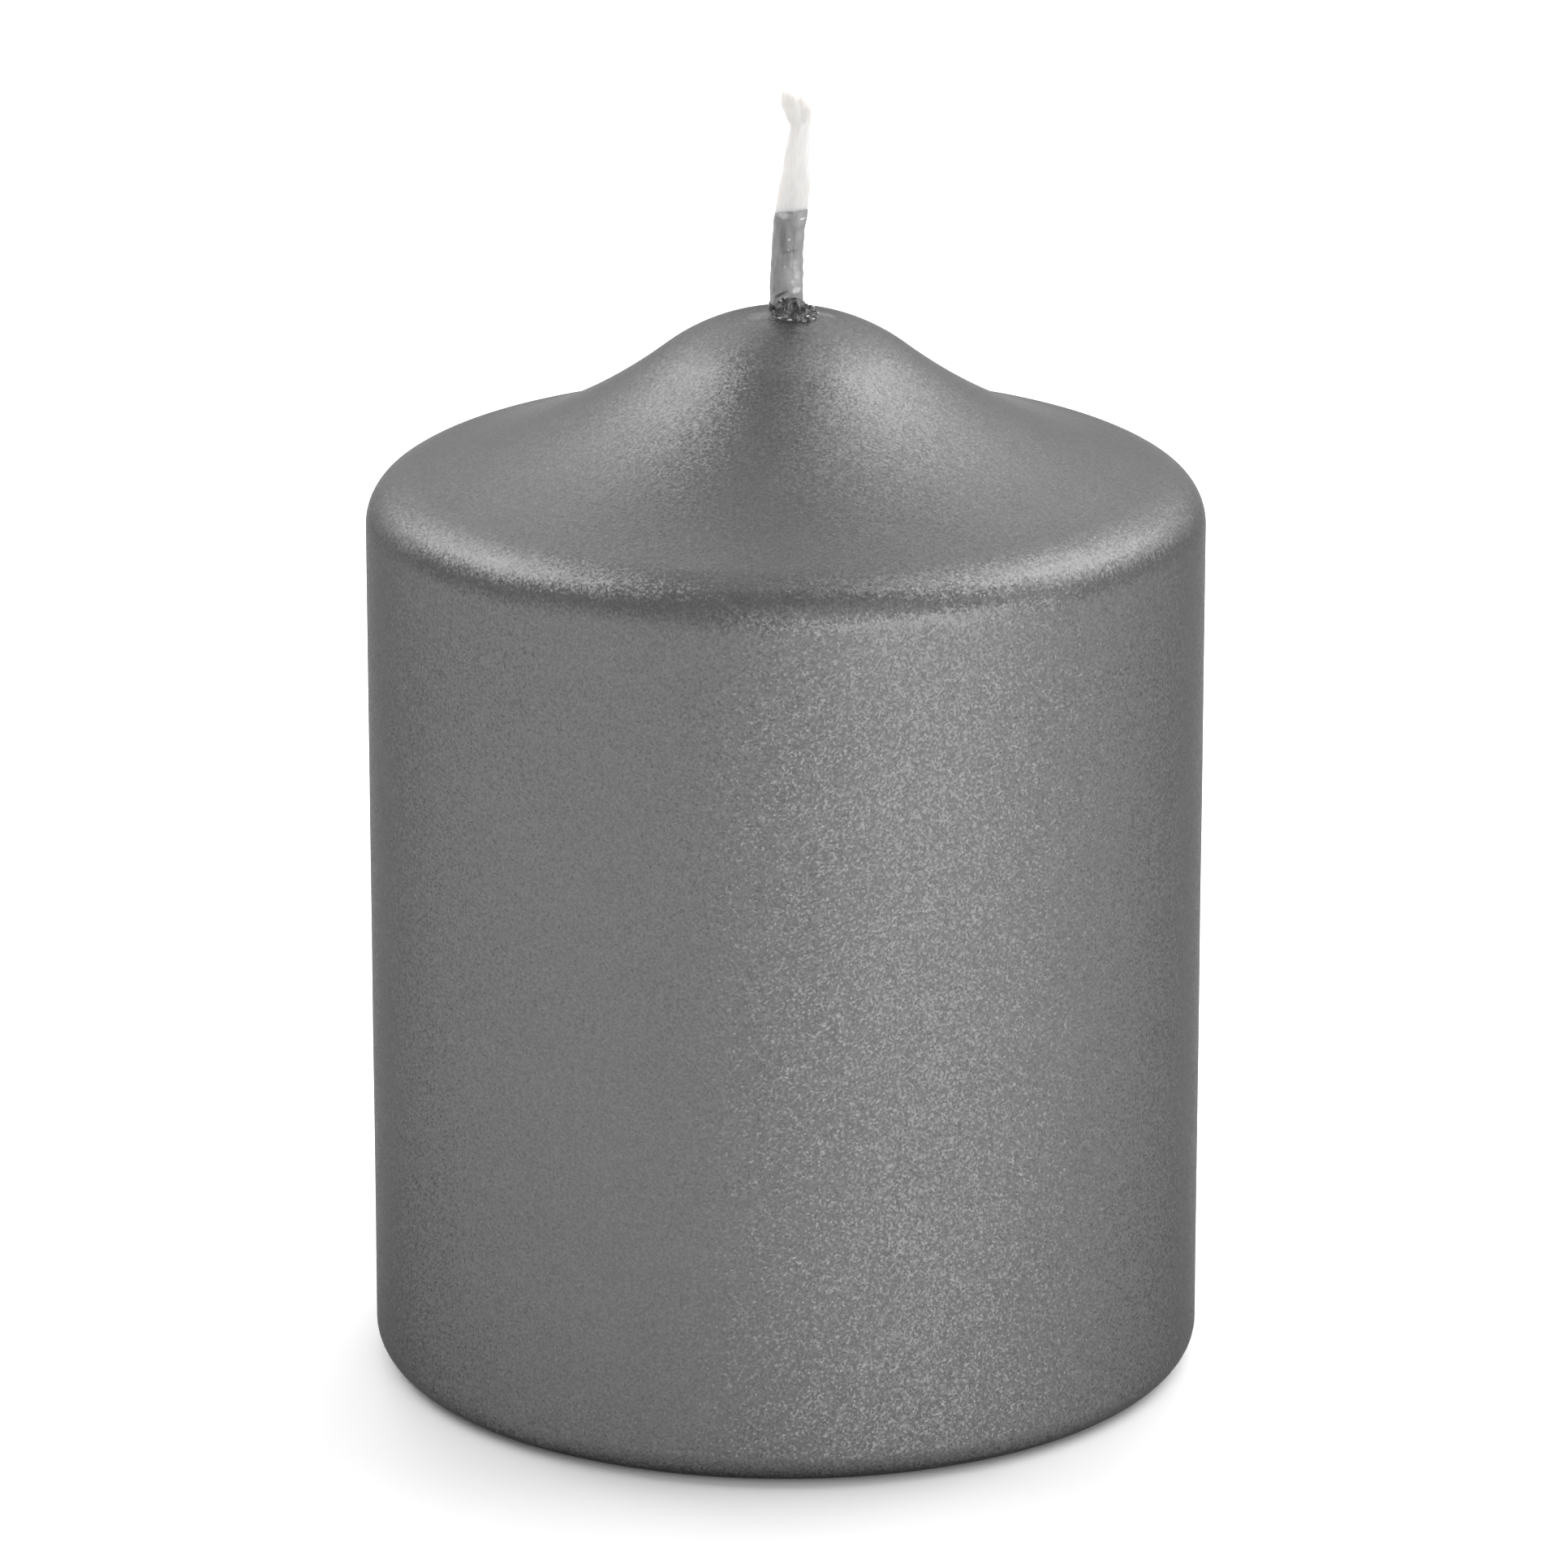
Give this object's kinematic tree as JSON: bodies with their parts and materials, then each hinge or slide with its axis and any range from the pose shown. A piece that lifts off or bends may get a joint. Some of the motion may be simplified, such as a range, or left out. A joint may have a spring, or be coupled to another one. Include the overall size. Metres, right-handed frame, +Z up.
{
  "type": "pillar candle",
  "caption": "Peaked cylindrical pillar candle in metallic grey lacquer over white wax, with an upright plaited wick half coated in the same lacquer.",
  "frame": {"origin": "centre of the flat standing face, on the candle's axis", "axes": "+Z up along the candle's axis towards the wick; -Y is the side that faces the viewer; +X is the way the wick's free end leans"},
  "size_m": [0.07, 0.07, 0.1091],
  "materials": {
    "metallic_lacquer": "satin metallic lacquer with fine aluminium flake",
    "grey_wax": "dyed overdip wax, satin",
    "white_wax": "pressed paraffin, translucent, faintly granular",
    "wick_wax": "hard white priming wax, semi-translucent",
    "wick_lacquer": "thin blotchy metallic lacquer",
    "lacquer_flecks": "crumbled lacquer and wax with bright specks",
    "wick_cotton": "plaited cotton, wax-soaked",
    "tinplate": "bright stamped tinplate"
  },
  "bodies": {
    "root": {"wax_core": "white_wax", "colour_overdip": "grey_wax", "lacquer_film": "metallic_lacquer", "wick_anchor": "tinplate", "wick_sleeve": "wick_wax", "wick_lacquer": "wick_lacquer", "wick_crust": "lacquer_flecks", "wick_bundle_1": "wick_cotton", "wick_bundle_2": "wick_cotton", "wick_bundle_3": "wick_cotton"}
  },
  "joints": []
}
